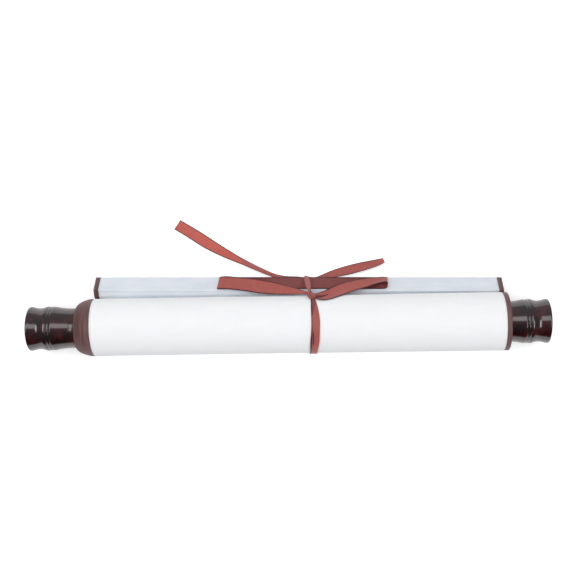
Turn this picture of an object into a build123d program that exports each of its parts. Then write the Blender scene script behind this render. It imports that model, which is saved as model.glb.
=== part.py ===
"""A hanging scroll of white paper, rolled up on its rod and tied with a flat ribbon.

Millimetres, +Z up. X runs along the roller. The origin lies on the table, under the roller's axis,
halfway between the two knobs. The roll rests on its flat spot, and the batten of the sheet's top
edge lies behind it, on the +Y side.
"""

from build123d import *

from math import acos, atan2, cos, hypot, pi, radians, sin, sqrt, tan
import os

os.makedirs("parts", exist_ok=True)

# Roller: a straight rod with a tenon at each end, and a turned knob on each tenon
rod_radius = 13.9
bare_rod_length = 0.8
tenon_radius = 5.0
tenon_length = 14.0
tenon_clearance = 0.1
socket_end_gap = 0.6

# Knob, turned like a bamboo node: radii, and places measured back from its rim
knob_length = 31.4
knob_base_radius = 14.1
knob_swell_radius = 14.4
knob_swell_from_rim = 23.4
node_radius = 15.6
node_from_rim = 17.0
groove_radius = 15.25
groove_from_rim = 14.9
second_node_radius = 15.8
second_node_from_rim = 12.7
neck_radius = 14.5
neck_from_rim = 6.1
rim_radius = 15.8
rim_edge = 0.7
knob_end_dome = 0.6

# Sheet: the white paper and its two brown edge strips
sheet_width = 300.0
edge_strip_width = 3.5
paper_thickness = 0.45
turn_gap = 0.36
turns = 8
flats_per_turn = 30
paper_on_rod_gap = 0.05
sheet_centre_x = 6.8
slip = 9.6
slip_curve = 1.6
leaving_angle = -60.0
flat_spot_sink = 0.15

# Batten: a half-round lath in a sleeve of the sheet, its flat side turned up and back
batten_width = 13.0
batten_bulge = 5.0
batten_end_inset = 0.5
sleeve_fit = 0.05
facet_tilt = 44.7
batten_distance = 30.36
batten_yaw = 0.9

# Ribbons and the two staples that hold the hanging ribbon on the batten
ribbon_thickness = 0.2
ribbon_fit = 0.08
hanging_ribbon_width = 11.2
hanging_ribbon_inset = 0.8
band_lift = 0.2
fold_radius = 0.7
fold_left = -58.8
fold_right = 65.7
staple_wire = 0.5
staple_crown = 6.0
staple_leg = 3.0
staple_from_fold = 4.0
staple_fit = 0.03
gathered_width = 2.0
gathered_thickness = 1.0
knot_x = 17.0
knot_y = 23.2
knot_radius = 2.7
knot_hole_radius = 1.35
knot_hole_lift = 0.35
knot_length = 4.6

pitch = paper_thickness + turn_gap
flat_angle = 2 * pi / flats_per_turn
start_radius = (rod_radius + paper_on_rod_gap) / cos(flat_angle / 2)
roll_radius = start_radius + turns * pitch + paper_thickness
axis_height = roll_radius * cos(flat_angle / 2) - flat_spot_sink
roller_axis = Axis((0, 0, axis_height), (1, 0, 0))
sheet_left = sheet_centre_x - sheet_width / 2
rod_half_length = slip - sheet_left + bare_rod_length

# The batten's round side is an arc about this centre, and the sleeve just touches the table
arc_radius = (batten_width**2 / 4 + batten_bulge**2) / (2 * batten_bulge)
arc_above_flat = arc_radius - batten_bulge
sleeve_outside = sleeve_fit + paper_thickness
arc_centre_z = arc_radius + sleeve_outside
tilt = radians(facet_tilt)
yaw = radians(batten_yaw)
batten_direction = Vector(cos(yaw), -sin(yaw), 0)


def arc_centre_y(x):
    """Where the centre of the batten's round side lies, at a place along the scroll."""
    return batten_distance - (x - sheet_centre_x) * tan(yaw)


def batten_point(x, along, out):
    """A point of the batten's section: along its flat from the middle, and out from the flat."""
    rise = out - arc_above_flat
    y = arc_centre_y(x) - along * cos(tilt) + rise * sin(tilt)
    z = arc_centre_z + along * sin(tilt) + rise * cos(tilt)
    return y, z


def half_flat(skin):
    """Half the width of the batten's flat side when the section grows by a skin all round."""
    return sqrt((arc_radius + skin) ** 2 - (arc_above_flat - skin) ** 2)


def batten_section(x, skin):
    """The half-round section at a place along the scroll, grown by a skin all round."""
    far_corner = batten_point(x, -half_flat(skin), skin)
    ridge_corner = batten_point(x, half_flat(skin), skin)
    round_middle = batten_point(x, 0, -batten_bulge - skin)
    with BuildSketch(Plane.YZ.offset(x)) as section:
        with BuildLine():
            Line(far_corner, ridge_corner)
            ThreePointArc(ridge_corner, round_middle, far_corner)
        make_face()
    return section.sketch


def spiral_point(step, lift):
    """A corner of the many-sided spiral, on its inner face or lifted to its outer face."""
    angle = radians(leaving_angle) - (turns * flats_per_turn - step) * flat_angle
    radius = start_radius + pitch * step / flats_per_turn + lift
    height = axis_height + radius * sin(angle)
    return radius * cos(angle), max(height, paper_thickness - lift)


def turn_left_edge(turn):
    """Where a turn's left edge lies: the turns have slipped to the left, the inner ones less apart."""
    return sheet_left - slip * (1 - (turn / (turns - 1)) ** slip_curve)


# The flat of the batten as a working plane: x along the batten from the middle of the sheet,
# y down the flat from its ridge to its far edge, z off the paper
flat_width = 2 * half_flat(sleeve_outside)
ridge_y, ridge_z = batten_point(sheet_centre_x, half_flat(sleeve_outside), sleeve_outside)
facet = Plane(
    origin=(sheet_centre_x, ridge_y, ridge_z),
    x_dir=batten_direction,
    z_dir=(sin(yaw) * sin(tilt), cos(yaw) * sin(tilt), cos(yaw) * cos(tilt)),
)

# Room under the roll and the batten for the tie ribbon, pressed into the paper
tie_plan_left = [
    (14.5, -22.0), (15.3, -13.3), (16.0, -6.7), (16.6, 3.2), (16.2, 17.9),
    (13.6, 25.0), (11.9, 29.9), (11.3, 37.0),
]
tie_plan_right = [
    (20.1, -22.0), (21.8, -13.4), (22.4, -6.8), (22.6, 3.1), (19.6, 17.8),
    (15.6, 25.0), (15.9, 29.9), (14.7, 37.0),
]
channel_side_gap = 0.3
channel_left = min(x for x, y in tie_plan_left) - channel_side_gap
channel_right = max(x for x, y in tie_plan_right) + channel_side_gap
channel_height = ribbon_thickness + ribbon_fit

# The hanging ribbon's place on the flat
band_far = flat_width - hanging_ribbon_inset
band_near = band_far - hanging_ribbon_width
band_middle = (band_far + band_near) / 2
leg_offset = (staple_crown - staple_wire) / 2

# The taut tie: a circle that just clears the last turn, and the batten's far corner
wrap_centre_y = -pitch / 4
wrap_centre_z = axis_height - pitch / 4
wrap_radius = roll_radius - pitch / 4 + ribbon_fit
corner_y, corner_z = batten_point(knot_x, -half_flat(sleeve_outside), sleeve_outside)
corner_reach = corner_z - ribbon_thickness
corner_span = hypot(corner_y - wrap_centre_y, corner_z - wrap_centre_z)
chord_angle = atan2(corner_z - wrap_centre_z, corner_y - wrap_centre_y) + acos(
    (wrap_radius - corner_reach) / corner_span
)

# The knot stands off the tie's straight run, so that the hanging ribbon clears the run
knot_reach = wrap_radius + ribbon_thickness + knot_hole_lift + knot_hole_radius
knot_z = wrap_centre_z + (knot_reach - (knot_y - wrap_centre_y) * cos(chord_angle)) / sin(chord_angle)


def staple_holes(plane_gap):
    """Cuts the four leg holes of the two staples through what they hold."""
    for place in (fold_left + staple_from_fold, fold_right - staple_from_fold):
        for side in (-1, 1):
            with BuildSketch(facet.offset(plane_gap)) as leg:
                with Locations((place, band_middle + side * leg_offset)):
                    Rectangle(staple_wire + staple_fit, staple_wire + staple_fit)
            extrude(leg.sketch, amount=-staple_leg - staple_fit - plane_gap, mode=Mode.SUBTRACT)


def sheet_part(near, far):
    """The wound sheet between two distances from its left edge, with its sleeve."""
    with BuildPart() as sheet:
        for turn in range(turns):
            steps = range(turn * flats_per_turn, (turn + 1) * flats_per_turn + 1)
            outer = [spiral_point(step, paper_thickness) for step in steps]
            inner = [spiral_point(step, 0) for step in reversed(steps)]
            with BuildSketch(Plane.YZ.offset(turn_left_edge(turn) + near)):
                with BuildLine():
                    Polyline(*outer, *inner, close=True)
                make_face()
            extrude(amount=far - near)
        last_step = turns * flats_per_turn
        for x in (sheet_left + near, sheet_left + far):
            ridge = half_flat(sleeve_outside)
            skin = sleeve_outside - paper_thickness / 8
            with BuildSketch(Plane.YZ.offset(x)):
                with BuildLine():
                    Polyline(
                        spiral_point(last_step, 0),
                        batten_point(x, ridge - paper_thickness / 2, skin),
                        batten_point(x, ridge - paper_thickness, sleeve_fit),
                        spiral_point(last_step, paper_thickness),
                        close=True,
                    )
                make_face()
        loft(ruled=True)
        sleeve_length = (far - near) / cos(yaw)
        sleeve = batten_section(sheet_left + near, sleeve_outside)
        hollow = batten_section(sheet_left + near, sleeve_fit)
        extrude(sleeve, amount=sleeve_length, dir=batten_direction)
        extrude(hollow, amount=sleeve_length, dir=batten_direction, mode=Mode.SUBTRACT)
        if sheet_left + near < channel_left and channel_right < sheet_left + far:
            with BuildSketch(Plane.XY):
                with Locations(((channel_left + channel_right) / 2, batten_distance / 2)):
                    Rectangle(channel_right - channel_left, 2 * batten_distance)
            extrude(amount=channel_height, mode=Mode.SUBTRACT)
            staple_holes(ribbon_fit)
    return sheet.part


scroll_sheet = sheet_part(edge_strip_width, sheet_width - edge_strip_width)
scroll_sheet.label = "scroll_sheet"
export_step(scroll_sheet, "parts/scroll_sheet.step")

left_edge_strip = sheet_part(0, edge_strip_width)
left_edge_strip.label = "left_edge_strip"
export_step(left_edge_strip, "parts/left_edge_strip.step")

right_edge_strip = sheet_part(sheet_width - edge_strip_width, sheet_width)
right_edge_strip.label = "right_edge_strip"
export_step(right_edge_strip, "parts/right_edge_strip.step")

# Batten inside the sleeve
with BuildPart() as batten:
    batten_left = sheet_left + batten_end_inset
    batten_length = (sheet_width - 2 * batten_end_inset) / cos(yaw)
    extrude(batten_section(batten_left, 0), amount=batten_length, dir=batten_direction)
    staple_holes(ribbon_fit)
batten.part.label = "top_batten"
export_step(batten.part, "parts/top_batten.step")

# Rod with its two tenons
with BuildPart() as rod:
    with BuildSketch(Plane.XZ):
        with BuildLine():
            Polyline(
                (-rod_half_length - tenon_length, axis_height),
                (-rod_half_length - tenon_length, axis_height + tenon_radius),
                (-rod_half_length, axis_height + tenon_radius),
                (-rod_half_length, axis_height + rod_radius),
                (rod_half_length, axis_height + rod_radius),
                (rod_half_length, axis_height + tenon_radius),
                (rod_half_length + tenon_length, axis_height + tenon_radius),
                (rod_half_length + tenon_length, axis_height),
                close=True,
            )
        make_face()
    revolve(axis=roller_axis)
rod.part.label = "roller_rod"
export_step(rod.part, "parts/roller_rod.step")

# Right knob, and the left one as its mirror image
socket_radius = tenon_radius + tenon_clearance
socket_depth = tenon_length + socket_end_gap
knob_profile = [
    (0, socket_radius),
    (0, knob_base_radius),
    (knob_length - knob_swell_from_rim, knob_swell_radius),
    (knob_length - node_from_rim, node_radius),
    (knob_length - groove_from_rim, groove_radius),
    (knob_length - second_node_from_rim, second_node_radius),
    (knob_length - (second_node_from_rim + neck_from_rim) / 2, (second_node_radius + 2 * neck_radius) / 3),
    (knob_length - neck_from_rim, neck_radius),
    (knob_length - neck_from_rim / 2, (rim_radius + 2 * neck_radius) / 3),
    (knob_length - rim_edge, rim_radius),
    (knob_length, rim_radius - rim_edge),
    (knob_length + knob_end_dome, 0),
    (socket_depth, 0),
    (socket_depth, socket_radius),
]
with BuildPart() as right_knob:
    with BuildSketch(Plane.XZ):
        with BuildLine():
            Polyline(
                *[(rod_half_length + along, axis_height + radius) for along, radius in knob_profile],
                close=True,
            )
        make_face()
    revolve(axis=roller_axis)
right_knob.part.label = "right_knob"
export_step(right_knob.part, "parts/right_knob.step")

with BuildPart() as left_knob:
    add(mirror(right_knob.part, about=Plane.YZ, mode=Mode.PRIVATE))
left_knob.part.label = "left_knob"
export_step(left_knob.part, "parts/left_knob.step")


def ribbon(stations):
    """A flat strip through pairs of edge points, each with its thickness, by ruled lofts."""
    middles = [(Vector(*near) + Vector(*far)) / 2 for near, far, thick in stations]
    sections = []
    for place, (near, far, thick) in enumerate(stations):
        ahead = middles[min(place + 1, len(middles) - 1)]
        behind = middles[max(place - 1, 0)]
        across = Vector(*far) - Vector(*near)
        facing = across.cross(across.cross(behind - ahead))
        with BuildSketch(Plane(origin=middles[place], x_dir=across, z_dir=facing)) as section:
            Rectangle(across.length, thick)
        sections.append(section.sketch)
    loft(sections, ruled=True)


def on_facet(along, down, lift):
    """A point on or off the batten's flat side, from the working plane's own coordinates."""
    return tuple(facet.from_local_coords((along, down, lift)))


def band_pair(along, lift):
    """The hanging ribbon's two edges where it lies along the batten."""
    return on_facet(along, band_far, lift), on_facet(along, band_near, lift), ribbon_thickness


def gathered(x):
    """The hanging ribbon squeezed together where it runs through the knot."""
    half_y = gathered_width / 2 * sin(chord_angle)
    half_z = gathered_width / 2 * cos(chord_angle)
    return (x, knot_y + half_y, knot_z - half_z), (x, knot_y - half_y, knot_z + half_z), gathered_thickness


# Hanging ribbon: straight along the batten, folded back at both ends, its slack drawn to the knot
band_middle_lift = band_lift + ribbon_thickness / 2
front_lift = band_middle_lift + 2 * fold_radius
left_slack = [
    ((-44.0, 35.8, 5.5), (-43.0, 27.3, 12.4), ribbon_thickness),
    ((-32.0, 34.8, 8.5), (-31.0, 24.6, 13.8), ribbon_thickness),
    ((-21.3, 33.1, 11.5), (-21.1, 22.7, 15.4), ribbon_thickness),
    ((-9.9, 30.6, 15.0), (-10.0, 22.8, 18.4), ribbon_thickness),
    ((0.2, 27.6, 19.0), (1.0, 22.9, 21.2), ribbon_thickness),
    ((8.0, 25.5, 22.6), (8.4, 22.6, 23.8), 2 * ribbon_thickness),
]
right_slack = [
    ((23.4, 25.0, 23.4), (23.2, 21.4, 27.4), 2 * ribbon_thickness),
    ((28.6, 26.4, 20.6), (28.0, 21.0, 27.2), ribbon_thickness),
    ((36.8, 29.2, 17.5), (35.5, 22.0, 24.5), ribbon_thickness),
    ((47.5, 32.4, 12.5), (46.0, 24.6, 19.8), ribbon_thickness),
    ((57.5, 33.6, 7.5), (56.3, 26.4, 15.6), ribbon_thickness),
]
with BuildPart() as hanging_ribbon:
    band_centre = (fold_left + fold_right) / 2
    ribbon(
        [
            band_pair(band_centre, band_middle_lift),
            band_pair(fold_left + fold_radius, band_middle_lift),
            band_pair(fold_left, band_middle_lift + fold_radius),
            band_pair(fold_left + fold_radius, front_lift),
        ]
        + left_slack
        + [gathered(knot_x - knot_length / 2), gathered(knot_x)]
    )
    ribbon(
        [
            band_pair(band_centre, band_middle_lift),
            band_pair(fold_right - fold_radius, band_middle_lift),
            band_pair(fold_right, band_middle_lift + fold_radius),
            band_pair(fold_right - fold_radius, front_lift),
        ]
        + right_slack[::-1]
        + [gathered(knot_x + knot_length / 2), gathered(knot_x)]
    )
    staple_holes(band_lift + ribbon_thickness + ribbon_fit)
hanging_ribbon.part.label = "hanging_ribbon"
export_step(hanging_ribbon.part, "parts/hanging_ribbon.step")

# Staples: a crown on the ribbon and two legs through it and the paper into the batten
for name, place in (
    ("left_staple", fold_left + staple_from_fold),
    ("right_staple", fold_right - staple_from_fold),
):
    with BuildPart() as staple:
        crown_base = band_lift + ribbon_thickness
        with BuildSketch(facet.offset(crown_base)):
            with Locations((place, band_middle)):
                Rectangle(staple_wire, staple_crown)
        extrude(amount=staple_wire)
        with BuildSketch(facet.offset(crown_base)):
            for side in (-1, 1):
                with Locations((place, band_middle + side * leg_offset)):
                    Rectangle(staple_wire, staple_wire)
        extrude(amount=-staple_leg - crown_base)
    staple.part.label = name
    export_step(staple.part, f"parts/{name}.step")


def wrap_outline(skin, floor):
    """The taut outline round the roll and the batten's far corner, cut off at a floor."""
    with BuildSketch(Plane.YZ.offset(channel_left)) as outline:
        with BuildLine():
            CenterArc((wrap_centre_y, wrap_centre_z), wrap_radius + skin, 0, 360)
            CenterArc((corner_y, corner_z), corner_reach + skin, 0, 360)
        make_hull()
        with Locations((0, floor + 2 * roll_radius)):
            Rectangle(8 * roll_radius, 4 * roll_radius, mode=Mode.INTERSECT)
    return outline.sketch


# Tie ribbon: one turn round the roll and the batten, its knot, and two tails on the table
left_tail = [
    ((12.5, 36.3), (12.5, 33.2)),
    ((-1.1, 35.9), (-1.4, 33.5)),
    ((-9.7, 36.9), (-10.8, 34.3)),
    ((-16.5, 39.9), (-18.0, 36.7)),
    ((-22.8, 42.7), (-24.2, 39.6)),
    ((-35.9, 49.2), (-38.7, 45.4)),
    ((-49.1, 58.9), (-53.0, 53.1)),
    ((-62.2, 67.8), (-66.5, 60.5)),
    ((-79.7, 78.3), (-84.3, 71.4)),
]
right_tail = [
    ((13.5, 36.3), (13.5, 33.2)),
    ((20.3, 36.0), (20.8, 33.3)),
    ((30.0, 38.3), (31.4, 34.2)),
    ((40.7, 41.6), (43.3, 35.5)),
    ((50.6, 44.1), (52.8, 38.4)),
    ((58.5, 45.4), (60.4, 40.2)),
    ((70.2, 47.3), (70.9, 41.6)),
]
with BuildPart() as tie_ribbon:
    extrude(wrap_outline(ribbon_thickness, 0), amount=channel_right - channel_left)
    extrude(wrap_outline(0, ribbon_thickness), amount=channel_right - channel_left, mode=Mode.SUBTRACT)
    with BuildSketch(Plane.XY):
        with BuildLine():
            Polyline(*tie_plan_left, *tie_plan_right[::-1], close=True)
        make_face()
    extrude(amount=3 * roll_radius, mode=Mode.INTERSECT)
    with BuildSketch(Plane.YZ.offset(knot_x - knot_length / 2)):
        with Locations((knot_y, knot_z)):
            Circle(knot_radius)
            Circle(knot_hole_radius, mode=Mode.SUBTRACT)
    extrude(amount=knot_length)
    for tail in (left_tail, right_tail):
        middle = ribbon_thickness / 2
        ribbon([((*far, middle), (*near, middle), ribbon_thickness) for far, near in tail])
tie_ribbon.part.label = "tie_ribbon"
export_step(tie_ribbon.part, "parts/tie_ribbon.step")
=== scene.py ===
"""The rolled scroll as it looks: smooth paper, lacquered knobs and flat ribbons, under soft light.

Sizes are in millimetres where a name says nothing else, and metres() turns them into the frame's unit.
x runs along the scroll, y from its roll to its batten, and z up from the table.
"""

from math import acos, cos, exp, pi, radians, sin, sqrt, tan

import bmesh
import bpy
from mathutils import Matrix, Vector, noise


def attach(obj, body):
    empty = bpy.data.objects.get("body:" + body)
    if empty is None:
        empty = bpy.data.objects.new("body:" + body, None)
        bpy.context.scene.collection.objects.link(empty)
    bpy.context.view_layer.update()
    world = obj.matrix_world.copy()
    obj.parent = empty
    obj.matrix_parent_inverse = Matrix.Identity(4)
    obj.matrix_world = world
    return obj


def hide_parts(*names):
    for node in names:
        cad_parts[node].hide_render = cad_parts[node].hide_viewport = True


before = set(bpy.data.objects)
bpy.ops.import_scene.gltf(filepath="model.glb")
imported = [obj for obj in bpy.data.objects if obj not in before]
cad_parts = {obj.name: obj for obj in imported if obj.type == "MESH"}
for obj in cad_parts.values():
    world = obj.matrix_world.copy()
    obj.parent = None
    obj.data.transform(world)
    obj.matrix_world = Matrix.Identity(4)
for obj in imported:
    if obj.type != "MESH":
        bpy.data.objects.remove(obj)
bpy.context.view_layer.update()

MM = 0.001

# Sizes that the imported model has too
AXIS_Z = 20.695
RIM_X = 185.9
SHEET_LEFT, SHEET_RIGHT = -142.7, 157.3
SHEET_WIDTH = SHEET_RIGHT - SHEET_LEFT
SHEET_CENTRE_X = 6.8
STRIP_WIDTH = 3.5
BATTEN_WIDTH, BATTEN_BULGE = 13.0, 5.0
BATTEN_DISTANCE = 30.36
FACET_TILT = radians(44.7)
YAW = radians(0.9)
ARC_RADIUS = (BATTEN_WIDTH**2 / 4 + BATTEN_BULGE**2) / (2 * BATTEN_BULGE)
ARC_ABOVE_FLAT = ARC_RADIUS - BATTEN_BULGE
SLEEVE_FIT, SLEEVE_OUTSIDE = 0.05, 0.5
ARC_CENTRE_Z = ARC_RADIUS + SLEEVE_OUTSIDE
CHANNEL_LEFT, CHANNEL_RIGHT = 11.0, 22.9
STAPLES = (-48.0, 68.5)

# The winding: its turns, the paper's thickness, the first turn's radius and what each turn adds to it
TURNS = 16
THICK = 0.3
START_RADIUS = 14.0
PITCH = 0.405
OUTER_RADIUS = START_RADIUS + PITCH * TURNS + THICK

# The angle about the roll's axis at which the paper leaves for the batten
LEAVING = radians(-55)

# How far the first turn has slipped to the left, and the power by which the slip fades over the turns
SLIP, SLIP_CURVE = 9.3, 2.7

# How the last turn differs from the first: its shift to the right and towards the batten, how loose it
# is at its right end, and the share by which it is narrower
SKEW, DRIFT, LOOSE_RIGHT, NARROWER = 0.85, 0.35, 0.45, 0.0014

# How far the paper rises over the tie ribbon under the roll, and over what width the rise begins
CHANNEL_RISE, CHANNEL_EDGE = 0.3, 1.5

# The height over which that rise fades, on the roll and on the sleeve
ROLL_FADE, SLEEVE_FADE = 0.8, 0.5

# How far the roundings of the batten's ridge and of its lower edge reach
RIDGE_CORNER, HEEL_CORNER = 1.6, 0.5

# The share of the run's rows that lie before the batten's ridge
BEFORE_RIDGE = 0.7

# Rows of points for each inner turn, for the last turn, and for the run to the batten
INNER_STEPS, OUTER_STEPS, RUN_STEPS = 96, 120, 32


# Camera: above the scroll and nearly straight down, its frame shifted a little to the left
camera_data = bpy.data.cameras.new("camera")
camera_data.sensor_width = 36
camera_data.lens = 58.741
camera_data.shift_x = -0.035
camera = bpy.data.objects.new("camera", camera_data)
camera.location = (0.01955, 0.02572, 0.69702)
camera.rotation_euler = (radians(0.04), radians(0.429), radians(-0.91))
bpy.context.collection.objects.link(camera)
bpy.context.scene.camera = camera
bpy.context.scene.view_settings.view_transform = "Standard"


# Helpers for shapes
def metres(points):
    """Points in millimetres as vectors in metres."""
    return [Vector(p) * MM for p in points]


def ramp(value, start, length):
    """From 0 to 1, how far a value has come along a length from a start."""
    return min(1.0, max(0.0, (value - start) / length))


def plateau(place, centre, reach):
    """From 0 to 1, how near a place is to a centre: 1 over most of the reach on either side of it."""
    return exp(-(((place - centre) / reach) ** 4))


def waves(along, across, seed):
    """Smooth noise from about -1 to 1 over two coordinates."""
    return noise.noise(Vector((along, across, seed)))


def bezier(start, pull, end, share):
    """A point on the curve from start to end that is drawn towards pull."""
    a, b, c = (1 - share) ** 2, 2 * share * (1 - share), share**2
    return tuple(a * p + b * q + c * r for p, q, r in zip(start, pull, end))


def spaced(first, last, step):
    """Places from first to last at about that step."""
    count = max(1, round((last - first) / step))
    return [first + (last - first) * k / count for k in range(count + 1)]


def follow(points, resolution=14):
    """The smooth line of a NURBS spline with these control points, as points in metres."""
    curve = bpy.data.curves.new("route", "CURVE")
    curve.dimensions = "3D"
    curve.resolution_u = resolution
    spline = curve.splines.new("NURBS")
    spline.points.add(len(points) - 1)
    for control, point in zip(spline.points, metres(points)):
        control.co = (*point, 1)
    spline.order_u = 3
    spline.use_endpoint_u = True
    holder = bpy.data.objects.new("route", curve)
    bpy.context.collection.objects.link(holder)
    graph = bpy.context.evaluated_depsgraph_get()
    mesh = bpy.data.meshes.new_from_object(holder.evaluated_get(graph), depsgraph=graph)
    line = [v.co.copy() for v in mesh.vertices]
    bpy.data.objects.remove(holder)
    bpy.data.curves.remove(curve)
    bpy.data.meshes.remove(mesh)
    return line


def ring_faces(first, second, count):
    """The faces between two closed rings of points, each known by its first point's number."""
    faces = []
    for j in range(count):
        k = (j + 1) % count
        faces.append((first + j, first + k, second + k, second + j))
    return faces


def strip_faces(rows, places):
    """The faces of a closed strip, whose points come row by row as a pair of both sides at each place."""
    faces = []
    stride, last = 2 * places, places - 1
    for i in range(rows - 1):
        for j in range(last):
            a = i * stride + 2 * j
            faces.append((a, a + 2, a + stride + 2, a + stride))
            faces.append((a + 1, a + stride + 1, a + stride + 3, a + 3))
        for a in (i * stride, i * stride + 2 * last):
            faces.append((a, a + stride, a + stride + 1, a + 1))
    for start in (0, (rows - 1) * stride):
        for j in range(last):
            a = start + 2 * j
            faces.append((a, a + 1, a + 3, a + 2))
    return faces


def new_piece(name, verts, faces, uvs=None, weld=False):
    """A smooth mesh object from points in metres, with its faces turned outward.

    Where weld is true, points that coincide become one.
    """
    mesh = bpy.data.meshes.new(name)
    mesh.from_pydata([tuple(v) for v in verts], [], faces)
    if uvs:
        layer = mesh.uv_layers.new(name="lengths")
        for loop in mesh.loops:
            layer.data[loop.index].uv = uvs[loop.vertex_index]
    work = bmesh.new()
    work.from_mesh(mesh)
    if weld:
        bmesh.ops.remove_doubles(work, verts=work.verts, dist=1e-7)
    bmesh.ops.recalc_face_normals(work, faces=work.faces)
    work.to_mesh(mesh)
    work.free()
    mesh.polygons.foreach_set("use_smooth", [True] * len(mesh.polygons))
    piece = bpy.data.objects.new(name, mesh)
    bpy.context.collection.objects.link(piece)
    return piece


# The batten's section, which the sleeve and the ribbons follow
def arc_centre_y(x):
    """Where the centre of the batten's round side lies, at a place along the scroll."""
    return BATTEN_DISTANCE - (x - SHEET_CENTRE_X) * tan(YAW)


def batten_point(x, along, out):
    """A point of the batten's section: along its flat from the middle, and out from the flat."""
    rise = out - ARC_ABOVE_FLAT
    y = arc_centre_y(x) - along * cos(FACET_TILT) + rise * sin(FACET_TILT)
    z = ARC_CENTRE_Z + along * sin(FACET_TILT) + rise * cos(FACET_TILT)
    return x, y, z


def half_flat(skin):
    """Half the width of the batten's flat side when the section grows by a skin all round."""
    return sqrt((ARC_RADIUS + skin) ** 2 - (ARC_ABOVE_FLAT - skin) ** 2)


def on_facet(x, down, lift):
    """A point off the batten's flat side: down the flat from its ridge, and off the paper."""
    return batten_point(x, half_flat(SLEEVE_OUTSIDE) - down, SLEEVE_OUTSIDE + lift)


def ridge_places(skin):
    """The foot, tip and top of the rounded ridge in the batten's section grown by a skin."""
    half, reach = half_flat(skin), ARC_RADIUS + skin
    angle = -acos(half / reach) - RIDGE_CORNER / reach
    foot = (reach * cos(angle), ARC_ABOVE_FLAT + reach * sin(angle))
    return foot, (half, skin), (half - RIDGE_CORNER, skin)


# Routes of the ribbons. Each station is an edge, perhaps a middle, and the other edge.
left_fold = ((-50.9, 35.4, 2.8), (-52.1, 26.5, 11.2))
right_fold = ((73.0, 32.2, 3.6), (72.2, 26.3, 10.9))

# How far the band's edges lie from the ridge, down the batten's flat side, and how high it lies on it
BAND_NEAR, BAND_FAR, BAND_LIFT = 1.55, 13.75, 0.3

# Where the lower and the upper edge of the band pass, along the scroll
BAND_PLACES = [(-51.1, -51.7), (-46, -46), (-20, -20), (11, 11), (40, 40), (66, 66), (72.2, 71.4)]

band_stations = [left_fold]
for lower_x, upper_x in BAND_PLACES:
    lower, upper = on_facet(lower_x, BAND_FAR, BAND_LIFT), on_facet(upper_x, BAND_NEAR, BAND_LIFT)
    band_stations.append((lower, upper))
band_stations.append(right_fold)

slack_stations = [
    left_fold,
    ((-50.5, 35.7, 3.9), (-51.7, 26.5, 12.0)),
    ((-45.0, 36.0, 4.4), (-44.0, 26.4, 12.2)),
    ((-37.0, 35.0, 6.2), (-36.0, 25.2, 13.2)),
    ((-29.0, 34.4, 9.0), (-28.6, 24.2, 14.4)),
    ((-20.0, 33.0, 12.0), (-20.0, 22.6, 15.6)),
    ((-10.0, 31.0, 15.2), (-10.0, 26.4, 17.6), (-10.0, 22.0, 18.4)),
    ((-3.0, 28.9, 17.8), (-3.0, 25.4, 20.0), (-3.0, 21.9, 20.2)),
    ((3.0, 27.1, 20.2), (3.0, 24.6, 22.2), (3.0, 21.8, 22.0)),
    ((8.5, 25.4, 22.6), (8.5, 23.6, 24.2), (8.5, 21.9, 24.0)),
    ((13.0, 23.9, 24.8), (13.0, 22.9, 26.0), (13.0, 21.9, 25.8)),
    ((17.0, 22.6, 25.6), (17.0, 22.2, 26.6), (17.0, 21.4, 26.6)),
    ((20.0, 22.2, 27.6), (20.0, 20.6, 28.4), (20.0, 18.6, 32.2)),
    ((24.0, 23.4, 26.4), (24.0, 20.6, 27.6), (24.0, 17.6, 33.4)),
    ((29.0, 25.6, 23.6), (29.2, 21.2, 26.2), (29.4, 17.9, 32.8)),
    ((36.0, 28.6, 18.6), (35.6, 23.9, 23.0), (35.0, 19.4, 29.6)),
    ((43.6, 31.0, 15.0), (43.6, 22.2, 22.4)),
    ((50.0, 32.0, 10.8), (49.6, 24.3, 18.8)),
    ((57.0, 32.8, 7.0), (56.6, 26.0, 15.8)),
    ((63.0, 33.3, 4.6), (62.8, 28.2, 13.6)),
    ((69.0, 33.7, 3.6), (68.6, 29.6, 11.8)),
    ((72.1, 33.6, 3.6), (71.7, 30.2, 10.2)),
    ((73.0, 33.1, 3.8), (72.7, 29.0, 9.8)),
    right_fold,
]
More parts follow.
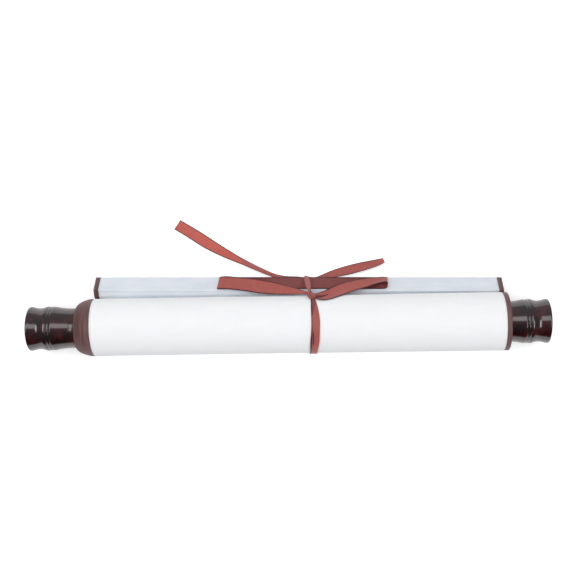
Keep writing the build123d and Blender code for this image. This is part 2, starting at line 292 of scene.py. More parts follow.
wrap_stations = [
    ((15.8, 23.6, 24.2), (17.6, 23.2, 24.8)),
    ((15.9, 21.4, 27.2), (18.4, 21.0, 27.6)),
    ((16.2, 18.6, 31.4), (19.5, 18.2, 31.6)),
    ((16.3, 12.4, 38.2), (21.4, 12.4, 38.2)),
    ((16.6, 4.4, 41.9), (22.6, 4.4, 41.9)),
    ((16.4, -4.4, 42.1), (22.3, -4.4, 42.1)),
    ((15.5, -12.5, 38.6), (22.0, -12.5, 38.6)),
    ((15.35, -18.5, 31.8), (20.6, -18.5, 31.8)),
    ((15.4, -21.4, 22.9), (20.1, -21.4, 22.9)),
    ((14.2, -20.5, 13.8), (20.3, -20.5, 13.8)),
    ((14.1, -16.1, 5.8), (20.4, -16.1, 5.8)),
    ((14.0, -9.0, 0.9), (20.5, -9.0, 0.9)),
    ((13.9, -2.0, 0.12), (20.5, -2.0, 0.12)),
    ((13.7, 6.0, 0.12), (20.3, 6.0, 0.12)),
    ((13.3, 15.0, 0.12), (20.0, 15.0, 0.12)),
    ((12.6, 24.0, 0.12), (19.0, 24.0, 0.12)),
    ((11.4, 30.6, 0.13), (16.0, 32.0, 0.15)),
    ((7.0, 32.4, 0.2), (9.4, 34.9, 0.3)),
    ((1.0, 32.8, 0.25), (1.0, 35.2, 0.35)),
    ((-5.0, 33.4, 0.3), (-5.0, 35.8, 0.35)),
    ((-11.5, 34.6, 0.8), (-10.6, 37.3, 0.3)),
    ((-17.0, 36.9, 2.9), (-15.2, 39.3, 0.3)),
    ((-26.1, 40.7, 4.4), (-25.4, 42.3, 3.9), (-23.4, 43.3, 0.3)),
    ((-36.0, 45.2, 4.6), (-34.0, 49.0, 0.3)),
    ((-41.0, 47.2, 4.4), (-38.6, 51.8, 0.3)),
    ((-51.0, 51.4, 2.6), (-48.5, 58.1, 0.3)),
    ((-64.0, 58.1, 0.9), (-61.0, 66.6, 0.3)),
    ((-75.0, 65.7, 0.4), (-71.5, 73.4, 0.3)),
    ((-84.3, 71.4, 0.3), (-79.7, 78.2, 0.3)),
]
short_tail_stations = [
    ((15.6, 23.4, 25.2), (17.2, 23.0, 25.8)),
    ((13.9, 24.9, 22.6), (16.3, 24.7, 23.0)),
    ((12.4, 27.6, 17.4), (14.4, 27.7, 18.0), (16.5, 27.6, 17.6)),
    ((11.7, 31.0, 11.4), (13.9, 31.2, 12.0), (16.4, 31.0, 11.5)),
    ((11.4, 34.2, 6.0), (13.0, 34.3, 6.4), (14.8, 34.2, 5.8)),
    ((11.9, 35.4, 2.6), (14.3, 35.4, 2.4)),
    ((12.8, 35.4, 0.4), (14.8, 34.4, 0.3)),
    ((15.6, 34.4, 0.3), (16.0, 32.6, 0.3)),
    ((20.0, 34.1, 0.3), (20.6, 32.0, 0.3)),
    ((25.0, 36.2, 0.3), (26.2, 32.7, 0.35)),
    ((32.0, 39.1, 0.3), (33.8, 33.8, 0.7)),
    ((41.0, 41.8, 0.3), (43.4, 35.4, 2.6)),
    ((50.6, 44.1, 0.3), (52.9, 37.7, 4.4)),
    ((60.0, 45.8, 0.3), (61.6, 42.2, 2.2), (62.2, 40.3, 5.2)),
    ((66.0, 46.8, 0.6), (67.2, 43.8, 1.8), (67.6, 42.3, 5.4)),
    ((70.0, 47.6, 1.6), (70.8, 45.6, 2.2), (71.0, 44.2, 5.2)),
]


# Ribbons: flat cords with soft waves and pleats
RIBBON_THICKNESS = 0.22
WAVE_LENGTH, WAVES_ACROSS = 16, 1.7


def across(rails, share):
    """A point across a ribbon, on the smooth curve through its two edges and its middle."""
    near, middle, far = rails
    return (
        near * (1 - share) * (1 - 2 * share)
        + middle * 4 * share * (1 - share)
        + far * share * (2 * share - 1)
    )


def three_lines(stations):
    """The smooth lines of a ribbon's first edge, middle and second edge."""
    full = []
    for station in stations:
        first, second = station[0], station[-1]
        halfway = tuple((a + b) / 2 for a, b in zip(first, second))
        full.append(station if len(station) == 3 else (first, halfway, second))
    return [follow([station[k] for station in full]) for k in range(3)]


def ribbon(name, stations, ripple=0.0, relief=None, shade_share=None, samples=20):
    """A flat ribbon lofted between the smooth lines of its two edges and its middle, and that middle line.

    A ripple is the height of its soft waves, which its name's length sets apart from another ribbon's.
    At a place along the scroll, a run along the ribbon and a share across it, relief gives the height,
    and the share function gives which share of the cloth's colour is shown, painting shade into folds and
    pleats with the darker edge colour.
    """
    lines = three_lines(stations)
    count = len(lines[0])
    nearby, seed = 0.05, len(name)
    verts, uvs = [], []
    before = [None] * (samples + 1)
    run = 0.0
    for i in range(count):
        rails = [line[i] for line in lines]
        if i:
            run += (lines[1][i] - lines[1][i - 1]).length
        ahead, behind = min(i + 1, count - 1), max(i - 1, 0)
        along = sum((line[ahead] - line[behind] for line in lines), Vector())
        for j in range(samples + 1):
            share = j / samples
            step = across(rails, min(share + nearby, 1)) - across(rails, max(share - nearby, 0))
            normal = along.cross(step).normalized() * MM
            if before[j] and normal.dot(before[j]) < 0:
                normal.negate()
            before[j] = normal
            point = across(rails, share)
            place = (point.x / MM, run / MM, share)
            height = ripple * waves(run / MM / WAVE_LENGTH, share * WAVES_ACROSS, seed)
            if relief:
                height += relief(*place)
            seen = shade_share(*place) if shade_share else share
            point = point + normal * height
            half = normal * RIBBON_THICKNESS / 2
            verts += [point + half, point - half]
            uvs += [(run / MM, seen)] * 2
    return new_piece(name, verts, strip_faces(count, samples + 1), uvs), lines[1]


def over_staples(x, run, share):
    """How far the band stands off the batten over its staples. Its own normal points into the batten."""
    rise, half_length, half_width = 0.85, 1.5, 0.42
    hump = sum(exp(-(((x - place) / half_length) ** 2)) for place in STAPLES)
    return -rise * hump * plateau(share, 0.5, half_width)


def pocket(x, share):
    """How deep a place lies in the fold that starts at the knot: 1 in its middle, below 0 outside it."""
    left, right, tip = 17, 29, 29.2
    if not left < x < right:
        return -1.0
    at_knot, drift, drift_from, drift_length = 0.65, 0.12, 20, 8
    middle = at_knot - drift * ramp(x, drift_from, drift_length)
    widest, narrowing, narrowest = 0.25, 9, 0.01
    half_width = widest * (tip - x) / narrowing + narrowest
    return 1 - abs(share - middle) / half_width


def pocket_relief(x, run, share):
    """The height of the slack ribbon's fold beside the knot."""
    depth = 0.8
    return -depth * max(0.0, pocket(x, share))


def shade_in_pocket(x, run, share):
    """The share across the cloth whose colour is shown: the fold beside the knot is painted with the
    darker edge colour as painted shade.
    """
    all_dark = 0.16
    return share + (1 - share) * ramp(pocket(x, share), 0, all_dark)


def pleat(run, share):
    """How near a place of the tie's strand in front is to its pleat low on the roll, from 0 to 1."""
    centre, half_length, half_width = 41, 6.5, 0.085
    upper, drift, drift_from, drift_length = 0.24, 0.10, 36, 7
    middle = upper + drift * ramp(run, drift_from, drift_length)
    return exp(-(((run - centre) / half_length) ** 4) - ((share - middle) / half_width) ** 2)


def pleat_relief(x, run, share):
    """The height of the tie's pleat."""
    depth = 0.75
    return -depth * pleat(run, share)


def shade_in_pleat(x, run, share):
    """The share across the cloth whose colour is shown: the darker edge colour widens along the tie's left
    and fills its pleat, as painted shade of the fold and pleat.
    """
    front_ends = 62
    if run > front_ends:
        return share
    always, at_most, turned_places = 0.03, 0.09, ((12, 10), (46, 12))
    turned_in = always + at_most * sum(plateau(run, centre, reach) for centre, reach in turned_places)
    seen = max(0.0, share - turned_in)
    dark_from, dark_over = 0.3, 0.25
    return seen + (1 - seen) * ramp(pleat(run, share), dark_from, dark_over)


hanging_band, band_path = ribbon("hanging_ribbon_band", band_stations, relief=over_staples)
hanging_slack, slack_path = ribbon(
    "hanging_ribbon_slack",
    slack_stations,
    ripple=0.35,
    relief=pocket_relief,
    shade_share=shade_in_pocket,
    samples=36,
)
tie_wrap, wrap_path = ribbon(
    "tie_ribbon_wrap",
    wrap_stations,
    ripple=0.12,
    relief=pleat_relief,
    shade_share=shade_in_pleat,
    samples=36,
)
tie_tail, tail_path = ribbon("tie_ribbon_short_tail", short_tail_stations, ripple=0.2)


# Knot: two soft lumps of ribbon. Each station is a point of the route and the radius there.
def tube(name, stations, depth, pleats=3, around=28):
    """A soft lump along a route, with pleats of a depth along its length, and the ribbon's darker edge
    colour at its sides.
    """
    line = follow([point for point, radius in stations], resolution=10)
    sizes = [radius for point, radius in stations]
    count = len(line)
    cloth_step, cloth_reach = 0.5, 0.62
    verts, faces, uvs = [], [], []
    for i, point in enumerate(line):
        place = i / (count - 1) * (len(sizes) - 1)
        low = min(int(place), len(sizes) - 2)
        size = sizes[low] + (sizes[low + 1] - sizes[low]) * (place - low)
        along = (line[min(i + 1, count - 1)] - line[max(i - 1, 0)]).normalized()
        side = along.cross(Vector((0, 0, 1))).normalized()
        up = side.cross(along)
        for j in range(around):
            angle = 2 * pi * j / around
            radius = size * (1 + depth * cos(pleats * angle)) * MM
            verts.append(point + (side * cos(angle) + up * sin(angle)) * radius)
            uvs.append((i * cloth_step, 0.5 + cloth_reach * cos(angle)))
    for i in range(count - 1):
        faces += ring_faces(i * around, (i + 1) * around, around)
    faces.append(tuple(range(around)))
    faces.append(tuple(range((count - 1) * around, count * around)))
    return new_piece(name, verts, faces, uvs)


knot_band = tube(
    "tie_knot_band",
    [
        ((15.9, 25.2, 25.0), 0.7),
        ((14.9, 23.6, 27.2), 0.95),
        ((14.7, 21.4, 28.8), 1.0),
        ((15.6, 19.8, 30.2), 1.0),
        ((17.2, 19.2, 31.0), 0.95),
        ((19.2, 19.5, 30.6), 0.5),
    ],
    depth=0.06,
)
knot_lobe = tube(
    "tie_knot_lobe",
    [
        ((15.8, 22.9, 28.2), 0.5),
        ((16.6, 21.7, 30.2), 1.1),
        ((17.8, 20.7, 31.0), 1.35),
        ((19.2, 20.3, 30.6), 1.15),
        ((20.2, 20.3, 29.6), 0.4),
    ],
    depth=0.08,
)


# Roll: the paper as one long strip wound sixteen times, then run up to the batten
def floor_lift(y, z):
    """How far the paper at a place of the roll is pushed up where the roll lies on the table."""
    if abs(y) >= OUTER_RADIUS:
        return 0.0
    fade = 1.2
    sunk = sqrt(OUTER_RADIUS**2 - y * y) - AXIS_Z
    return sunk * exp(-(z + sunk) / fade) if sunk > 0 else 0.0


def in_channel(x):
    """From 0 to 1, how far a place along the scroll lies over the tie ribbon's run underneath."""
    inside = min(x - CHANNEL_LEFT + CHANNEL_EDGE, CHANNEL_RIGHT + CHANNEL_EDGE - x)
    edge = ramp(inside, 0, CHANNEL_EDGE)
    return edge * edge * (3 - 2 * edge)


def over_tie(x, z, fade):
    """A height moved up off the tie ribbon: all the way at the table, and less as it fades above."""
    return z + CHANNEL_RISE * in_channel(x) * exp(-max(z, 0.0) / fade)


def above_floor(x, y, z):
    """The place moved up off the table and off the tie ribbon."""
    return x, y, over_tie(x, z + floor_lift(y, z), ROLL_FADE)


def spiral_row(turn):
    """The outer and inner points of the wound paper at a place in turns, for any place across it.

    It is looser towards its right end, but not where it lies on the table, and the last turn is uneven.
    """
    angle = LEAVING - (TURNS - turn) * 2 * pi
    radius = START_RADIUS + PITCH * turn
    share = turn / TURNS
    left = SHEET_LEFT + SKEW * share - SLIP * (1 - share**SLIP_CURVE)
    looser = LOOSE_RIGHT * share**3
    off_table = ramp(sin(angle), start=-0.9, length=0.6)
    loose_length, uneven, uneven_length, uneven_round = 110, 0.05, 40, 3

    def row(place):
        x = left + place * (1 - NARROWER * share)
        wave = looser * ramp(x, 0, loose_length) * off_table
        if turn > TURNS - 1:
            wave += uneven * waves(x / uneven_length, uneven_round * cos(angle), uneven_round * sin(angle))
        ends = []
        for reach in (radius + THICK + wave, radius + wave):
            y, z = DRIFT * share + reach * cos(angle), AXIS_Z + reach * sin(angle)
            ends.append(above_floor(x, y, z))
        return ends

    return row


def crinkle(x, share):
    """The height of the run's soft crinkles, long ones and short ones, which fade towards its ends."""
    height = 0.0
    for size, length, number, seed in ((0.7, 15, 1.6, 3.1), (0.45, 5.5, 3.0, 9.7)):
        height += size * waves(x / length, share * number, seed)
    return sin(pi * share / BEFORE_RIDGE) * height


def sag(x, y):
    """How far the run dips in the narrow valley beside the roll."""
    length, half_width = 25, 0.9
    depth = 1.2 + waves(x / length, across=0.5, seed=4.2)
    return depth * exp(-(((y - OUTER_RADIUS) / half_width) ** 2))


def slack_paper(x, start, foot, share):
    """A place of the run between its start on the roll and its foot on the batten."""
    half_way = (foot[1] - start[1]) / 2
    pull = (x, start[1] + half_way, start[2] + half_way * tan(LEAVING + pi / 2))
    _, y, z = bezier(start, pull, foot, share / BEFORE_RIDGE)
    height = crinkle(x, share)
    sideways, upward = 0.5, 0.8
    return x, y + sideways * height, z - sag(x, y) + upward * height


def run_row(share):
    """The paper between the roll and the batten, sagging and softly crinkled, then over the ridge."""
    outer_lift, inner_lift = -0.2, 0.1

    def row(place):
        x = SHEET_LEFT + place + (SKEW - NARROWER * place) * (1 - share) ** 2
        ends = []
        for start, lift in zip(spiral_row(TURNS)(place), (outer_lift, inner_lift)):
            foot, tip, top = (batten_point(x, *corner) for corner in ridge_places(SLEEVE_OUTSIDE + lift))
            if share < BEFORE_RIDGE:
                ends.append(slack_paper(x, start, foot, share))
            else:
                ends.append(bezier(foot, tip, top, (share - BEFORE_RIDGE) / (1 - BEFORE_RIDGE)))
        return ends

    return row


def thick_strip(rows, places):
    """Points and faces of a closed strip from rows of outer and inner points."""
    verts = []
    for row in rows:
        for place in places:
            verts += metres(row(place))
    return verts, strip_faces(len(rows), len(places))


# Sleeve: the paper round the batten
def sleeve_loop(x, skin, flat_steps=14, round_steps=28):
    """The batten's section grown by a skin, its two corners rounded, as points all the way round."""
    half, reach = half_flat(skin), ARC_RADIUS + skin
    foot, tip, top = ridge_places(skin)
    ridge_steps = 6
    outline = [bezier(foot, tip, top, k / ridge_steps) for k in range(1, ridge_steps)]
    heel = HEEL_CORNER - half
    outline += [(top[0] + (heel - top[0]) * k / flat_steps, skin) for k in range(flat_steps + 1)]
    edge = acos(half / reach)
    first, last = edge + HEEL_CORNER / reach - pi, -edge - RIDGE_CORNER / reach
    arc = []
    for k in range(round_steps + 1):
        angle = first + (last - first) * k / round_steps
        arc.append((reach * cos(angle), ARC_ABOVE_FLAT + reach * sin(angle)))
    outline.append(bezier(outline[-1], (-half, skin), arc[0], 0.5))
    return [batten_point(x, along, out) for along, out in outline + arc]


def sleeve(places):
    """Points and faces of the sleeve round the batten, a closed tube with a wall."""
    verts, faces = [], []
    uneven, uneven_length = 0.06, 30
    for place in places:
        x = SHEET_LEFT + place
        ripple = uneven * waves(x / uneven_length, across=0.4, seed=7.7)
        for skin in (SLEEVE_OUTSIDE + ripple, SLEEVE_FIT):
            for _, y, z in sleeve_loop(x, skin):
                verts.append(Vector((x, y, over_tie(x, z, SLEEVE_FADE))) * MM)
    ring = len(verts) // len(places) // 2
    for i in range(len(places) - 1):
        for wall in (0, ring):
            faces += ring_faces(2 * ring * i + wall, 2 * ring * (i + 1) + wall, ring)
    for start in (0, 2 * ring * (len(places) - 1)):
        faces += ring_faces(start, start + ring, ring)
    return verts, faces


def paper(name, near, far, step):
    """The wound paper between two distances from its left edge: its turns, its run and its sleeve.

    Its second material, the sleeve's, begins a quarter of the way along the run.
    """
    fine = spaced(near, far, step)
    inner = [spiral_row(k / INNER_STEPS) for k in range((TURNS - 1) * INNER_STEPS + 1)]
    outer = [spiral_row(TURNS - 1 + k / OUTER_STEPS) for k in range(OUTER_STEPS + 1)]
    outer += [run_row((k + 1) / RUN_STEPS) for k in range(RUN_STEPS)]
    parts = [thick_strip(inner, [near, far]), thick_strip(outer, fine), sleeve(fine)]
    quads_per_row = 2 * len(fine)
    rolled_quads = [len(parts[0][1]), quads_per_row * (OUTER_STEPS + RUN_STEPS // 4), 0]
    verts, faces, slots = [], [], []
    for (points, quads), rolled in zip(parts, rolled_quads):
        start = len(verts)
        verts += points
        faces += [tuple(start + v for v in quad) for quad in quads]
        slots += [int(k >= rolled) for k in range(len(quads))]
    piece = new_piece(name, verts, faces)
    piece.data.polygons.foreach_set("material_index", slots)
    return piece


scroll_sheet = paper("scroll_paper", STRIP_WIDTH, SHEET_WIDTH - STRIP_WIDTH, step=2.0)
left_strip = paper("left_brown_edging", 0, STRIP_WIDTH, step=0.9)
right_strip = paper("right_brown_edging", SHEET_WIDTH - STRIP_WIDTH, SHEET_WIDTH, step=0.9)


# Knobs: a smooth turned profile, as places back from the rim and radii
KNOB_PROFILE = [
    (-0.6, 0.0), (-0.5, 6.0), (-0.2, 12.0), (-0.02, 15.0), (0.1, 15.7), (0.8, 16.0), (2.0, 15.85),
    (3.6, 15.4), (5.4, 14.95), (7.2, 14.8), (9.0, 14.95), (10.8, 15.4), (12.2, 15.85), (13.3, 16.0),
    (14.1, 15.95), (14.5, 15.5), (14.9, 15.55), (15.6, 15.8), (16.3, 15.72), (16.7, 15.35), (17.1, 15.65),
    (17.9, 15.85), (19.0, 15.7), (21.0, 15.25), (23.5, 14.85), (26.5, 14.55), (29.0, 14.38), (31.0, 14.4),
    (33.6, 14.56), (33.8, 14.4), (33.8, 14.0), (32.3, 14.0), (32.3, 5.2),
]
KNOB_MEAN_RADIUS = 15


def knob(name, side, around=192):
    """A knob turned about the roller's axis, at the left end for a side of -1 and at the right for 1."""
    line = follow([(back, radius, 0) for back, radius in KNOB_PROFILE], resolution=8)
    verts, faces, uvs = [], [], []
    for point in line:
        back, radius = point.x, point.y
        x = side * (RIM_X * MM - back)
        for j in range(around):
            angle = 2 * pi * j / around
            verts.append(Vector((x, radius * cos(angle), AXIS_Z * MM + radius * sin(angle))))
            uvs.append((KNOB_MEAN_RADIUS * angle, back / MM))
    for i in range(len(line) - 1):
        faces += ring_faces(i * around, (i + 1) * around, around)
    faces.append(tuple(range((len(line) - 1) * around, len(line) * around)))
    return new_piece(name, verts, faces, uvs, weld=True)


left_knob = knob("left_lacquered_knob", -1)
right_knob = knob("right_lacquered_knob", 1)


# Helpers for materials
def new_material(name, **values):
    """A material, its node tree and its shader, with the given values on the shader's sockets."""
    material = bpy.data.materials.new(name)
    material.use_nodes = True
    tree = material.node_tree
    shader = tree.nodes["Principled BSDF"]
    for socket, value in values.items():
        shader.inputs[socket.replace("_", " ")].default_value = value
    return material, tree, shader


def add(tree, kind, **values):
    """A node with the given properties, and the given values on its sockets."""
    node = tree.nodes.new(kind)
    for name, value in values.items():
        if hasattr(node, name):
            setattr(node, name, value)
        else:
            node.inputs[name.replace("_", " ")].default_value = value
    return node


def feed(tree, value, socket):
    """Puts a value on a socket: another socket, a colour or a number."""
    if hasattr(value, "links"):
        tree.links.new(value, socket)
    elif isinstance(value, tuple):
        socket.default_value = (*value, 1)
    else:
        socket.default_value = value


def on_object(tree):
    """Places in the object's own space, in metres."""
    return add(tree, "ShaderNodeTexCoord").outputs["Object"]


def on_surface(tree):
    """Places on a piece: millimetres along a ribbon and a share across it, or round and along a knob."""
    return add(tree, "ShaderNodeUVMap", uv_map="lengths").outputs["UV"]


def part_of(tree, vector, axis):
    """One axis of a vector."""
    node = add(tree, "ShaderNodeSeparateXYZ")
    tree.links.new(vector, node.inputs["Vector"])
    return node.outputs[axis]


def worked_out(tree, operation, first, second=None):
    """The result of an operation on a socket and, where it takes two, on another socket or a number."""
    node = add(tree, "ShaderNodeMath", operation=operation)
    tree.links.new(first, node.inputs[0])
    if second is not None:
        feed(tree, second, node.inputs[1])
    return node.outputs[0]


def distance_from(tree, value, middle):
    """How far a value is from a middle, on either side."""
    return worked_out(tree, "ABSOLUTE", worked_out(tree, "SUBTRACT", value, middle))


def between(tree, value, low, high, first=0.0, second=1.0):
    """The value taken from the range low to high to the range first to second, clamped."""
    node = add(tree, "ShaderNodeMapRange")
    for name, number in (("From Min", low), ("From Max", high), ("To Min", first), ("To Max", second)):
        node.inputs[name].default_value = number
    tree.links.new(value, node.inputs["Value"])
    return node.outputs["Result"]


def speckle(tree, place, scale, detail=3.0):
    """Noise from 0 to 1 over a place times a scale for each axis."""
    mapping = add(tree, "ShaderNodeMapping", Scale=scale)
    tree.links.new(place, mapping.inputs["Vector"])
    node = add(tree, "ShaderNodeTexNoise", Scale=1.0, Detail=detail, Roughness=0.6)
    tree.links.new(mapping.outputs["Vector"], node.inputs["Vector"])
    return node.outputs["Fac"]


def blend_colours(tree, factor, first, second, blend_type="MIX"):
    """The mix of two colours, each a socket or a value, by a socket or a number."""
    mix = add(tree, "ShaderNodeMix", data_type="RGBA", blend_type=blend_type)
    feed(tree, factor, mix.inputs["Factor"])
    feed(tree, first, mix.inputs[6])
    feed(tree, second, mix.inputs[7])
    return mix.outputs[2]


def blend_shaders(tree, factor, first, second):
    """The mix of two shaders by a socket."""
    mix = add(tree, "ShaderNodeMixShader")
    for socket, output in zip(mix.inputs, (factor, first, second)):
        tree.links.new(output, socket)
    return mix.outputs[0]


def bump(tree, shader, height, strength, depth):
    """Small relief on the shader from a height, so many millimetres deep."""
    node = add(tree, "ShaderNodeBump", Strength=strength, Distance=depth * MM)
    tree.links.new(height, node.inputs["Height"])
    tree.links.new(node.outputs["Normal"], shader.inputs["Normal"])


# Materials of the scroll
def paper_material(name, dark, light, grain):
    """Paper with soft mottling and fine fibres."""
    material, tree, shader = new_material(name, Roughness=0.8, Specular_IOR_Level=0.25)
    cloud_scale, fibre_scale = (45, 120, 120), (900, 2600, 2600)
    place = on_object(tree)
    cloud = speckle(tree, place, cloud_scale)
    fibres = speckle(tree, place, fibre_scale, detail=5.0)
    colour = blend_colours(tree, between(tree, cloud, 0.3, 0.7), dark, light)
    tree.links.new(colour, shader.inputs["Base Color"])
    bump(tree, shader, fibres, strength=grain, depth=0.06)
    return material


def edging_material():
    """Brown paper edging with darker threads round the roll."""
    dark, light = (0.085, 0.038, 0.036), (0.205, 0.098, 0.092)
    thread_scale, fine_scale = (2600, 60, 60), (7000, 900, 900)
    material, tree, shader = new_material("brown_edging", Roughness=0.55)
    place = on_object(tree)
    threads = speckle(tree, place, thread_scale, detail=2.0)
    fine = speckle(tree, place, fine_scale, detail=2.0)
    colour = blend_colours(tree, between(tree, threads, 0.3, 0.7), dark, light)
    tree.links.new(colour, shader.inputs["Base Color"])
    bump(tree, shader, fine, strength=0.4, depth=0.08)
    return material


def lacquer_material():
    """Dark red lacquer over wood, nearly black in clouds and in streaks, with painted shade in the two
    fine grooves.
    """
    material, tree, shader = new_material(
        "dark_lacquer",
        Roughness=0.32,
        Specular_IOR_Level=0.0,
        Coat_Weight=1.0,
        Coat_Roughness=0.17,
        Coat_IOR=1.75,
    )
    black, red = (0.006, 0.0022, 0.0026), (0.056, 0.006, 0.006)
    streak_black, streak_red = (0.010, 0.003, 0.004), (0.046, 0.007, 0.009)
    # The grooves' near-black colour is painted shade.
    groove_painted_shade, groove_middle = (0.006, 0.004, 0.004), 0.25
    # Each groove's place back from the rim, and how far to either side of it the painted shade reaches
    grooves = ((14.6, 0.7), (16.75, 0.9))
    cloud_scale, grain_scale = (160, 160, 160), (1500, 110, 110)
    place = on_object(tree)
    clouds = speckle(tree, place, cloud_scale)
    grain = speckle(tree, place, grain_scale, detail=4.0)
    wood = blend_colours(tree, between(tree, clouds, 0.42, 0.68), black, red)
    streaks = blend_colours(tree, between(tree, grain, 0.45, 0.75), streak_black, streak_red)
    colour = blend_colours(tree, 0.5, wood, streaks, "LIGHTEN")
    back = part_of(tree, on_surface(tree), "Y")
    for groove, half_width in grooves:
        clear = between(tree, distance_from(tree, back, groove), groove_middle, half_width)
        colour = blend_colours(tree, clear, groove_painted_shade, colour)
    tree.links.new(colour, shader.inputs["Base Color"])
    bump(tree, shader, grain, strength=0.08, depth=0.05)
    return material


def ribbon_material(name, dark, light):
    """Woven ribbon with fine lengthwise streaks, close wefts, and a colour that darkens towards both
    edges.
    """
    dark_edge_colour = (0.085, 0.022, 0.024)
    # Where the darkening towards the edges begins and where it is full, as shares of the width from the
    # middle
    dark_edge_begins, dark_edge_full = 0.39, 0.445
    streak_scale, cloud_scale, weft_scale = (0.35, 26, 1), (0.16, 1.6, 1), (6.0, 60, 1)
    material, tree, shader = new_material(
        name, Roughness=0.55, Specular_IOR_Level=0.35, Sheen_Weight=0.12, Sheen_Roughness=0.4
    )
    lengths = on_surface(tree)
    streaks = speckle(tree, lengths, streak_scale)
    clouds = speckle(tree, lengths, cloud_scale, detail=2.0)
    wefts = speckle(tree, lengths, weft_scale, detail=1.0)
    cloth = blend_colours(tree, between(tree, streaks, 0.32, 0.7), dark, light)
    cloth = blend_colours(tree, between(tree, clouds, 0.35, 0.75, 0.0, 0.5), cloth, dark)
    from_middle = distance_from(tree, part_of(tree, lengths, "Y"), 0.5)
    darker_edges = between(tree, from_middle, dark_edge_begins, dark_edge_full)
    cloth = blend_colours(tree, darker_edges, cloth, dark_edge_colour)
    tree.links.new(cloth, shader.inputs["Base Color"])
    bump(tree, shader, wefts, strength=0.5, depth=0.12)
    return material


def bare_wood_material():
    """Pale wood with its grain along the scroll."""
    dark, light = (0.42, 0.27, 0.14), (0.66, 0.48, 0.30)
    grain_scale = (25, 700, 700)
    material, tree, shader = new_material("bare_wood", Roughness=0.6)
    grain = speckle(tree, on_object(tree), grain_scale, detail=4.0)
    colour = blend_colours(tree, between(tree, grain, 0.3, 0.7), dark, light)
    tree.links.new(colour, shader.inputs["Base Color"])
    bump(tree, shader, grain, strength=0.3, depth=0.1)
    return material


def wire_material():
    """Drawn steel wire with fine scratches."""
    dark, light = (0.50, 0.50, 0.52), (0.68, 0.68, 0.70)
    scratch_scale = (4000, 400, 400)
    material, tree, shader = new_material("staple_wire", Roughness=0.28, Metallic=1.0)
    scratches = speckle(tree, on_object(tree), scratch_scale, detail=2.0)
    tree.links.new(blend_colours(tree, scratches, dark, light), shader.inputs["Base Color"])
    return material


roll_paper = paper_material(
    "roll_paper", dark=(0.88, 0.88, 0.888), light=(0.90, 0.90, 0.908), grain=0.35
)
# The sleeve is the same sheet as the roll's paper, painted darker and bluer as painted shade on the
# batten's tilted flat.
sleeve_paper_with_painted_shade = paper_material(
    "sleeve_paper_with_painted_shade", dark=(0.69, 0.73, 0.79), light=(0.77, 0.80, 0.84), grain=0.6
)
edging = edging_material()
lacquer = lacquer_material()
# Three colours of the one ribbon: its plain colour, a lighter copy that is painted light, and a darker
# copy that is painted shade.
light_painted_ribbon = ribbon_material(
    "ribbon_light_painted", dark=(0.45, 0.086, 0.066), light=(0.62, 0.130, 0.102)
)
ribbon_front = ribbon_material(
    "ribbon_front_face", dark=(0.33, 0.074, 0.062), light=(0.47, 0.118, 0.098)
)
shade_painted_ribbon = ribbon_material(
    "ribbon_shade_painted", dark=(0.185, 0.044, 0.042), light=(0.265, 0.066, 0.060)
)
bare_wood = bare_wood_material()
wire = wire_material()


# What each piece is made of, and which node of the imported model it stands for
def dress(piece, node, slot_name, *materials):
    """Gives a piece its materials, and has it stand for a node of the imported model."""
    for material in materials:
        piece.data.materials.append(material)
    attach(piece, "root")
    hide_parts(node)


dress(scroll_sheet, "scroll_sheet", "white_paper", roll_paper, sleeve_paper_with_painted_shade)
dress(left_strip, "left_edge_strip", "brown_edging", edging, edging)
dress(right_strip, "right_edge_strip", "brown_edging", edging, edging)
dress(left_knob, "left_knob", "lacquered_wood", lacquer)
dress(right_knob, "right_knob", "lacquered_wood", lacquer)
# The band behind the slack is painted in the darker copy, as painted shade for the shade it lies in.
dress(hanging_band, "hanging_ribbon", "red_ribbon", shade_painted_ribbon)
dress(hanging_slack, "hanging_ribbon", "red_ribbon", ribbon_front)
for piece in (tie_wrap, tie_tail, knot_band, knot_lobe):
    dress(piece, "tie_ribbon", "red_ribbon", ribbon_front, light_painted_ribbon, shade_painted_ribbon)
for node, material in (
    ("roller_rod", bare_wood),
    ("top_batten", bare_wood),
    ("left_staple", wire),
    ("right_staple", wire),
):
    for material_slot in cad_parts[node].material_slots:
        material_slot.material = material


# The tie's materials in the order that dress() gave them
FRONT_FACE, LIGHT_PAINTED_SLOT, SHADE_PAINTED_SLOT = range(3)


def painted_light_on_wrap(x, y, z):
    """Which colour the tie's long piece takes: painted light beyond the twist in its tail, painted shade
    beside the knot.
    """
    behind_batten, above_axis = 30, 20
    twist_x, twist_y, twist_lean = -34, 47, 0.9
    shaded_from_x, shaded_from_y, shaded_slope = 16.7, 4.4, 3.4
    if y > behind_batten:
        return LIGHT_PAINTED_SLOT if x + twist_lean * (y - twist_y) < twist_x else FRONT_FACE
    if z > above_axis and y > shaded_from_y + shaded_slope * (x - shaded_from_x):
        return SHADE_PAINTED_SLOT
    return FRONT_FACE


def painted_light_on_tail(x, y, z):
    """Which colour the tie's short tail takes: painted light where its end turns up."""
    turned_x, turned_y = 66.8, 44.6
    return LIGHT_PAINTED_SLOT if x > turned_x and y > turned_y else FRONT_FACE


# The tie's faces take painted light or painted shade by where they lie.
for piece, painting_at in ((tie_wrap, painted_light_on_wrap), (tie_tail, painted_light_on_tail)):
    for face in piece.data.polygons:
        face.material_index = painting_at(*(face.center / MM))


# Stage: a white table that fades into the white around it, a pale sky and three soft lamps
def emission(tree, strength):
    """White light of a strength from a surface."""
    return add(tree, "ShaderNodeEmission", Strength=strength).outputs[0]


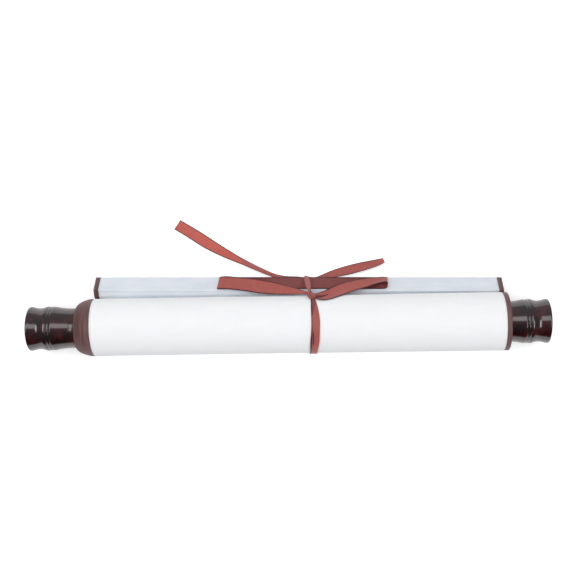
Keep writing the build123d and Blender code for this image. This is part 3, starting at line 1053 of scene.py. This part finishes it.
def table_material():
    """A white table that takes the scroll's shadow, and is plain white to the camera far from it."""
    fade_begins, fade_ends = 0.45, 1.1
    # What the camera and clear or glossy things see on top of the light that falls on the table
    glow = 0.4
    material, tree, shader = new_material("white_table", Roughness=0.9, Specular_IOR_Level=0.0)
    shader.inputs["Base Color"].default_value = (0.9, 0.9, 0.9, 1)
    rays = add(tree, "ShaderNodeLightPath").outputs
    seen = rays["Is Camera Ray"]
    for ray in ("Is Glossy Ray", "Is Transmission Ray"):
        seen = worked_out(tree, "MAXIMUM", seen, rays[ray])
    reach = add(tree, "ShaderNodeVectorMath", operation="LENGTH")
    tree.links.new(on_object(tree), reach.inputs[0])
    far_away = between(tree, reach.outputs["Value"], fade_begins, fade_ends)
    distant = worked_out(tree, "MULTIPLY", far_away, rays["Is Camera Ray"])
    near = add(tree, "ShaderNodeAddShader")
    tree.links.new(shader.outputs[0], near.inputs[0])
    tree.links.new(blend_shaders(tree, seen, emission(tree, 0.0), emission(tree, glow)), near.inputs[1])
    surface = blend_shaders(tree, distant, near.outputs[0], emission(tree, 1.0))
    tree.links.new(surface, tree.nodes["Material Output"].inputs["Surface"])
    return material


def lay_table():
    """The table under the scroll, which isn't part of it."""
    # In metres: half its width, and how far it lies under the scroll
    half, sunk = 3, 0.00005
    corners = [(-half, -half, 0), (half, -half, 0), (half, half, 0), (-half, half, 0)]
    mesh = bpy.data.meshes.new("table")
    mesh.from_pydata(corners, [], [(0, 1, 2, 3)])
    mesh.materials.append(table_material())
    table = bpy.data.objects.new("table", mesh)
    table.location.z = -sunk
    bpy.context.collection.objects.link(table)


def light_sky():
    """The sky, with a strength in front, one behind and a colour for each kind of ray."""
    cool, white = (0.96, 0.98, 1.0), (1.0, 1.0, 1.0)
    lights_scroll, in_gloss, to_camera = (0.56, 0.63, cool), (0.0, 0.50, cool), (1.0, 1.0, white)
    world = bpy.data.worlds.new("sky")
    bpy.context.scene.world = world
    world.use_nodes = True
    tree = world.node_tree
    heading = part_of(tree, add(tree, "ShaderNodeTexCoord").outputs["Generated"], "Y")
    rays = add(tree, "ShaderNodeLightPath").outputs
    skies = []
    for in_front, behind, tint in (lights_scroll, in_gloss, to_camera):
        sky = add(tree, "ShaderNodeBackground")
        sky.inputs["Color"].default_value = (*tint, 1)
        tree.links.new(between(tree, heading, -1, 1, in_front, behind), sky.inputs["Strength"])
        skies.append(sky.outputs[0])
    surface = blend_shaders(tree, rays["Is Glossy Ray"], skies[0], skies[1])
    surface = blend_shaders(tree, rays["Is Camera Ray"], surface, skies[2])
    tree.links.new(surface, tree.nodes["World Output"].inputs["Surface"])


def soft_light(name, place, width, depth, power):
    """A flat light over the scroll, turned towards its middle, with its width along the scroll."""
    light = bpy.data.lights.new(name, "AREA")
    light.shape = "RECTANGLE"
    light.size, light.size_y = width, depth
    light.energy = power
    lamp = bpy.data.objects.new(name, light)
    lamp.location = place
    away = Vector(place).normalized()
    across_lamp = away.cross(Vector((1, 0, 0))).normalized()
    lamp.rotation_euler = Matrix((across_lamp.cross(away), across_lamp, away)).transposed().to_euler()
    bpy.context.collection.objects.link(lamp)


lay_table()
light_sky()
soft_light("left_softbox", (-0.62, 0.08, 1.0), width=0.14, depth=0.65, power=2.1)
soft_light("right_softbox", (0.62, -0.24, 1.0), width=0.14, depth=0.75, power=2.25)
soft_light("long_softbox", (0.0, 0.27, 1.0), width=0.95, depth=0.42, power=2.6)
